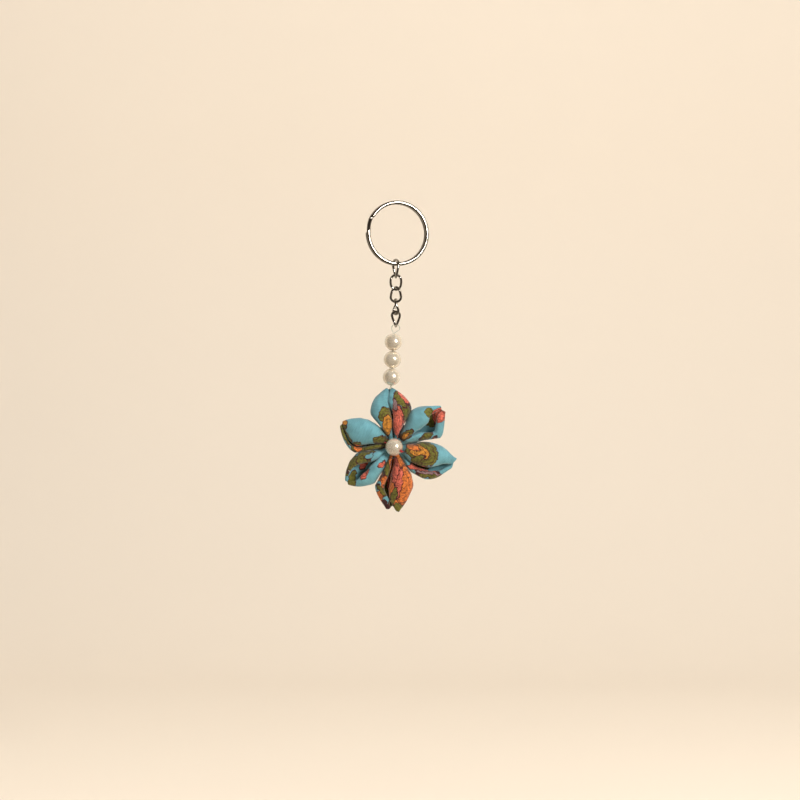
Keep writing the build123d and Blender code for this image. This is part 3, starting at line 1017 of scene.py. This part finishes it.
# %% [markdown]
# ## The red thread
# The middle pearl is sewn on with red thread. It runs through the bead, comes out of both holes, goes back
# round the bead's sides and down into the flower's middle. It is tied off over the pearl's right edge. The
# knot is drawn as a real trefoil knot, which is what an overhand knot looks like when it is pulled tight.

# %% Red thread and knot
RED_THREAD_RADIUS = 0.175 * MM
TWIST = 0.9 * MM
HOLE_MOUTH = 4.5  # millimetres from the pearl's middle to where the thread leaves its hole
# Each place is (along the bore, back into the flower) in millimetres.
HALF_ROUTE = ((0, 0), (2.0, 0), (HOLE_MOUTH, 0.0), (5.0, 0.9), (4.6, 2.7), (3.0, 4.6), (1.4, 5.6),
              (1.2, 7.5), (1.1, 9.4))
KNOT_SIZE = 0.19 * MM
KNOT_FORWARD = radians(40.0)
KNOT_STEPS = 36



def beside_pearl(along, back):
    """A place from millimetres along the bead's bore and back into the flower."""
    return flower_pearl + (bead_axis * along + BACKWARDS * back) * MM


flat_right = bead_axis.cross(BACKWARDS)
right_side = [beside_pearl(along, back) for along, back in HALF_ROUTE]
left_side = [beside_pearl(-along, back) for along, back in HALF_ROUTE]
knot_out = bead_axis * cos(KNOT_FORWARD) - BACKWARDS * sin(KNOT_FORWARD)
knot_up = knot_out.cross(flat_right)
knot_middle = flower_pearl + knot_out * HOLE_MOUTH * MM
knot = []
for step in range(KNOT_STEPS):
    t = 2 * pi * step / KNOT_STEPS
    swing = Vector((sin(t) + 2 * sin(2 * t), cos(t) - 2 * cos(2 * t), -sin(3 * t)))
    swing = knot_out * swing.z * 1.3 + knot_up * swing.y + flat_right * swing.x
    knot.append(knot_middle + swing * KNOT_SIZE)
loose = [[beside_pearl(HOLE_MOUTH, 0), beside_pearl(4.35, -1.4), knot_middle]]
for tail_end in ((0.8, -0.35, -0.66), (0.32, -0.35, -0.9)):
    bend = knot_middle + Vector((0.35, -0.2, -0.35)) * MM
    loose.append([knot_middle, bend, knot_middle + Vector(tail_end) * MM])
stitch = [(list(reversed(left_side)) + right_side[1:], False), (knot, True)]
stitch += [(path, False) for path in loose]
red = sewn_thread("bead_thread_twist", stitch, RED_THREAD_RADIUS, TWIST, red_thread)
settle(red, "flower", "red_thread", "bead_thread")

# %% [markdown]
# ## The gathering thread
# One thread runs through all the petals' raw edges in a running stitch and pulls them into a ring. From the
# side it goes forward and back as it passes in and out of the cloth, twice for each petal.

# %% Gathering thread
GATHER_STEPS = 48
GATHER_RADIUS = 0.16 * MM
STITCH_WAVES = 12
STITCH_HEIGHT = 0.5 * MM
low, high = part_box("gathering_thread")
gather_radius = (high.x - low.x) / 2 - 0.2 * MM
loop = []
for step in range(GATHER_STEPS):
    t = 2 * pi * step / GATHER_STEPS
    around = flower_centre + Vector((cos(t), 0, sin(t))) * gather_radius
    loop.append(around + BACKWARDS * STITCH_HEIGHT * sin(STITCH_WAVES * t))
gather = sewn_thread("gathering_twist", [(loop, True)], GATHER_RADIUS, TWIST, gather_thread)
settle(gather, "flower", "gathering_thread", "gathering_thread")

# %% [markdown]
# ## Felt backing
# A small disc of felt covers the raw edges at the back. Felt has no weave: it is a mat of pressed fibres.
# Fine noise with a deep bump gives the mat, and a wide sheen gives the haze that loose wool has.

# %% Felt finish
FELT_DEEP = (0.050, 0.135, 0.150, 1)
FELT_MIDDLE = (0.105, 0.235, 0.255, 1)
FELT_PALE = (0.15, 0.29, 0.30, 1)


def felt_finish(name):
    """Pressed wool in a dull teal, mottled, with a deep soft sheen."""
    material, tree, shader, here = new_material(
        name, Sheen_Weight=0.6, Sheen_Roughness=0.6, Specular_IOR_Level=0.2)
    mat = noise_wire(tree, here, 2400.0, detail=4.0, rough=0.7)
    patches = noise_wire(tree, here, 350.0)
    colour = mixed(tree, fade(tree, mat, 0.3, 0.7), FELT_DEEP, FELT_MIDDLE)
    colour = mixed(tree, fade(tree, patches, 0.4, 0.8, 0.0, 0.35), colour, FELT_PALE)
    normal = bump(tree, mat, 0.12 * MM, 0.8)
    paint(tree, shader, Base_Color=colour, Roughness=fade(tree, mat, 0.2, 0.8, 0.85, 1.0), Normal=normal)
    return material


felt_material = felt_finish("pressed_felt")
print("felt finish:", felt_material.name)

# %% [markdown]
# ## Felt disc
# The disc is a turned shape as large as its engineering node, with the edge rounded as scissors and wear
# leave it. Rings of points across both faces let noise roughen them.

# %% Felt disc
low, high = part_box("felt_backing")
felt_middle = (low + high) / 2
FELT_RADIUS = (high.x - low.x) / 2
FELT_HALF = (high.y - low.y) / 2
FELT_TURNS = 120
EDGE_ROUND = 0.35 * MM
EDGE_STEPS = 6
FELT_RINGS = 14
FINE_ROUGHNESS = 0.05 * MM
BROAD_ROUGHNESS = 0.08 * MM

flat_radius = FELT_RADIUS - EDGE_ROUND
rings = [flat_radius * ring / FELT_RINGS for ring in range(1, FELT_RINGS)]
outline = [(0.0, -FELT_HALF)] + [(radius, -FELT_HALF) for radius in rings]
for side in (-1, 1):
    for step in range(EDGE_STEPS + 1):
        angle = pi / 2 * (step / EDGE_STEPS - (1 if side < 0 else 0))
        height = side * (FELT_HALF - EDGE_ROUND) + EDGE_ROUND * sin(angle)
        outline.append((flat_radius + EDGE_ROUND * cos(angle), height))
outline += [(radius, FELT_HALF) for radius in reversed(rings)] + [(0.0, FELT_HALF)]
points = []
for turn in range(FELT_TURNS):
    angle = 2 * pi * turn / FELT_TURNS
    for radius, depth in outline:
        spot = Vector((radius * cos(angle), depth, radius * sin(angle)))
        rough = noise.noise(spot * 1400) * FINE_ROUGHNESS + noise.noise(spot * 300) * BROAD_ROUGHNESS
        outwards = Vector((cos(angle), depth / FELT_HALF, sin(angle)))
        points.append(felt_middle + spot + outwards * rough * min(1, radius / MM))
faces = grid_faces(FELT_TURNS, len(outline), rows_close=True)
felt = object_from("felt_disc", points, faces, felt_material)
weld_and_turn_out(felt)
settle(felt, "flower", "backing_felt", "felt_backing")

# %% [markdown]
# ## Loose fibres
# Single wool fibres stand off the felt. The second node tree scatters short bent hairs over the disc, with
# a fixed seed so that they are the same each time. It then tips and turns each hair at random.

# %% Felt fibres
HAIRS_PER_SQUARE_METRE = 2.6e6
HAIR_LENGTH = 0.55 * MM
HAIR_RADIUS = 0.011 * MM


def make_fibre_tree():
    """Short curved hairs scattered on the incoming surface."""
    tree, ids, given = make_tree("felt_fibres", (
        ("Per_square_metre", "Float"), ("Fibre_length", "Float"), ("Fibre_radius", "Float"),
        ("Seed", "Int"), ("Fibre_material", "Material")))
    spread = add_node(tree, "GeometryNodeDistributePointsOnFaces",
                      {0: given["Geometry"], "Density": given["Per_square_metre"], "Seed": given["Seed"]})
    arc = add_node(tree, "GeometryNodeCurveQuadraticBezier",
                   {"Resolution": 4, "Start": (0, 0, -0.1), "Middle": (0.1, 0.1, 0.5), "End": (0.45, 0, 0.75)})
    size = add_node(tree, "ShaderNodeCombineXYZ", {axis: given["Fibre_length"] for axis in range(3)})
    bent = add_node(tree, "GeometryNodeTransform", {0: arc.outputs[0], "Scale": size.outputs[0]})
    section = add_node(tree, "GeometryNodeCurvePrimitiveCircle",
                       {"Resolution": 3, "Radius": given["Fibre_radius"]})
    hair = add_node(tree, "GeometryNodeCurveToMesh", {0: bent.outputs[0], 1: section.outputs[0]})
    hair.inputs["Fill Caps"].default_value = True
    chance = add_node(tree, "FunctionNodeRandomValue", data_type="FLOAT_VECTOR")
    chance.inputs[0].default_value = (-1.0, -1.0, 0.0)
    chance.inputs[1].default_value = (1.0, 1.0, 2 * pi)
    tree.links.new(given["Seed"], chance.inputs["Seed"])
    tilt = add_node(tree, "FunctionNodeEulerToRotation", {0: chance.outputs[0]})
    turned = add_node(tree, "FunctionNodeRotateRotation",
                      {0: spread.outputs["Rotation"], 1: tilt.outputs[0]}, rotation_space="LOCAL")
    placed = add_node(tree, "GeometryNodeInstanceOnPoints",
                      {"Points": spread.outputs[0], "Instance": hair.outputs[0], "Rotation": turned.outputs[0]})
    close_tree(tree, placed.outputs[0], given["Fibre_material"])
    return tree, ids


fibre_tree, fibre_inputs = make_fibre_tree()
fuzz = bpy.data.objects.new("felt_fuzz", felt.data.copy())
bpy.context.scene.collection.objects.link(fuzz)
fuzz = grow(fuzz, fibre_tree, fibre_inputs, Per_square_metre=HAIRS_PER_SQUARE_METRE,
            Fibre_length=HAIR_LENGTH, Fibre_radius=HAIR_RADIUS, Seed=7, Fibre_material=felt_material)
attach(fuzz, "flower")
report(fuzz)

# %% [markdown]
# ## Paper behind the charm
# The stage is one sheet of warm paper: a floor well below the charm that curves up into a wall far behind
# it, so that there is no horizon. It stays far enough away for the charm to swing and to be seen from
# behind. Polish doesn't mirror it, because a bright floor would wash out the steel's dark flanks.

# %% Paper sweep
PAPER_HALF_WIDTH = 3.0
FLOOR_HEIGHT = -0.30
FLOOR_FRONT = -2.2
CURVE_START = 0.55
CURVE_RADIUS = 0.45
CURVE_STEPS = 24
PAPER_TOP = 2.2
PAPER_TONE = (0.87, 0.785, 0.675, 1)
PAPER_PALE = (0.89, 0.805, 0.695, 1)

paper, tree, shader, here = new_material("warm_paper", Roughness=0.95, Specular_IOR_Level=0.1)
grain = noise_wire(tree, here, 3.0, detail=2.0)
paint(tree, shader, Base_Color=mixed(tree, grain, PAPER_TONE, PAPER_PALE))
sweep = [(FLOOR_FRONT, FLOOR_HEIGHT)]
for step in range(CURVE_STEPS + 1):
    angle = pi / 2 * step / CURVE_STEPS
    rise = CURVE_RADIUS * (1 - cos(angle))
    sweep.append((CURVE_START + CURVE_RADIUS * sin(angle), FLOOR_HEIGHT + rise))
sweep.append((CURVE_START + CURVE_RADIUS, PAPER_TOP))
points = [(side * PAPER_HALF_WIDTH, y, z) for y, z in sweep for side in (-1, 1)]
faces = grid_faces(len(sweep), 2)
stage = object_from("paper_sweep", points, faces, paper)
stage.visible_glossy = False
print("paper sweep faces:", len(faces))

# %% [markdown]
# ## Lights
# The main light is a round soft box to the right of the camera. It draws the single round highlight on each
# pearl and the thin bright line on the steel, so it is the only light that polish mirrors. A weak fill from
# the left opens the shadows, and a large light above brings the paper to its warm tone.

# %% Lights
def soft_box(name, direction, distance, size, watts, colour, target, mirrored=False):
    """A round area light that looks at a target from a direction, and that polish may mirror or not."""
    data = bpy.data.lights.new(name, "AREA")
    data.shape = "DISK"
    data.size = size
    data.energy = watts
    data.color = colour
    made = bpy.data.objects.new(name, data)
    towards = Vector(direction).normalized()
    made.location = target + towards * distance
    made.rotation_euler = towards.to_track_quat("Z", "Y").to_euler()
    made.visible_glossy = mirrored
    bpy.context.scene.collection.objects.link(made)
    print(name, "at", [round(c, 2) for c in made.location])
    return made


charm_middle = Vector((0, 0, -0.08))
paper_middle = Vector((0, CURVE_START + CURVE_RADIUS, 0.1))
soft_box("key_light", (0.62, -0.77, 0.26), 1.2, 0.34, 12.0, (1.0, 0.97, 0.92), charm_middle, mirrored=True)
soft_box("fill_light", (-0.7, -0.5, 0.9), 1.4, 0.9, 0.7, (1.0, 0.95, 0.88), charm_middle)
soft_box("paper_light", (0.0, -0.75, 0.66), 1.9, 1.8, 22.6, (1.0, 0.98, 0.95), paper_middle)

# %% [markdown]
# ## Room tone
# What polish mirrors most is the room. Behind the camera the room is dim, and beyond the charm it is
# bright, so steel and pearls get a dark middle and light edges.

# %% Room tone
ROOM_DARK = (0.075, 0.060, 0.048, 1)
ROOM_BRIGHT = (0.80, 0.70, 0.56, 1)
world = bpy.data.worlds.new("room")
bpy.context.scene.world = world
world.use_nodes = True
tree = world.node_tree
facing = add_node(tree, "ShaderNodeTexCoord").outputs["Generated"]
away = add_node(tree, "ShaderNodeSeparateXYZ", {0: facing}).outputs[1]
room = mixed(tree, fade(tree, away, -0.35, 0.45), ROOM_DARK, ROOM_BRIGHT)
tree.links.new(room, tree.nodes["Background"].inputs["Color"])
print("room tone from", ROOM_DARK[:3], "to", ROOM_BRIGHT[:3])
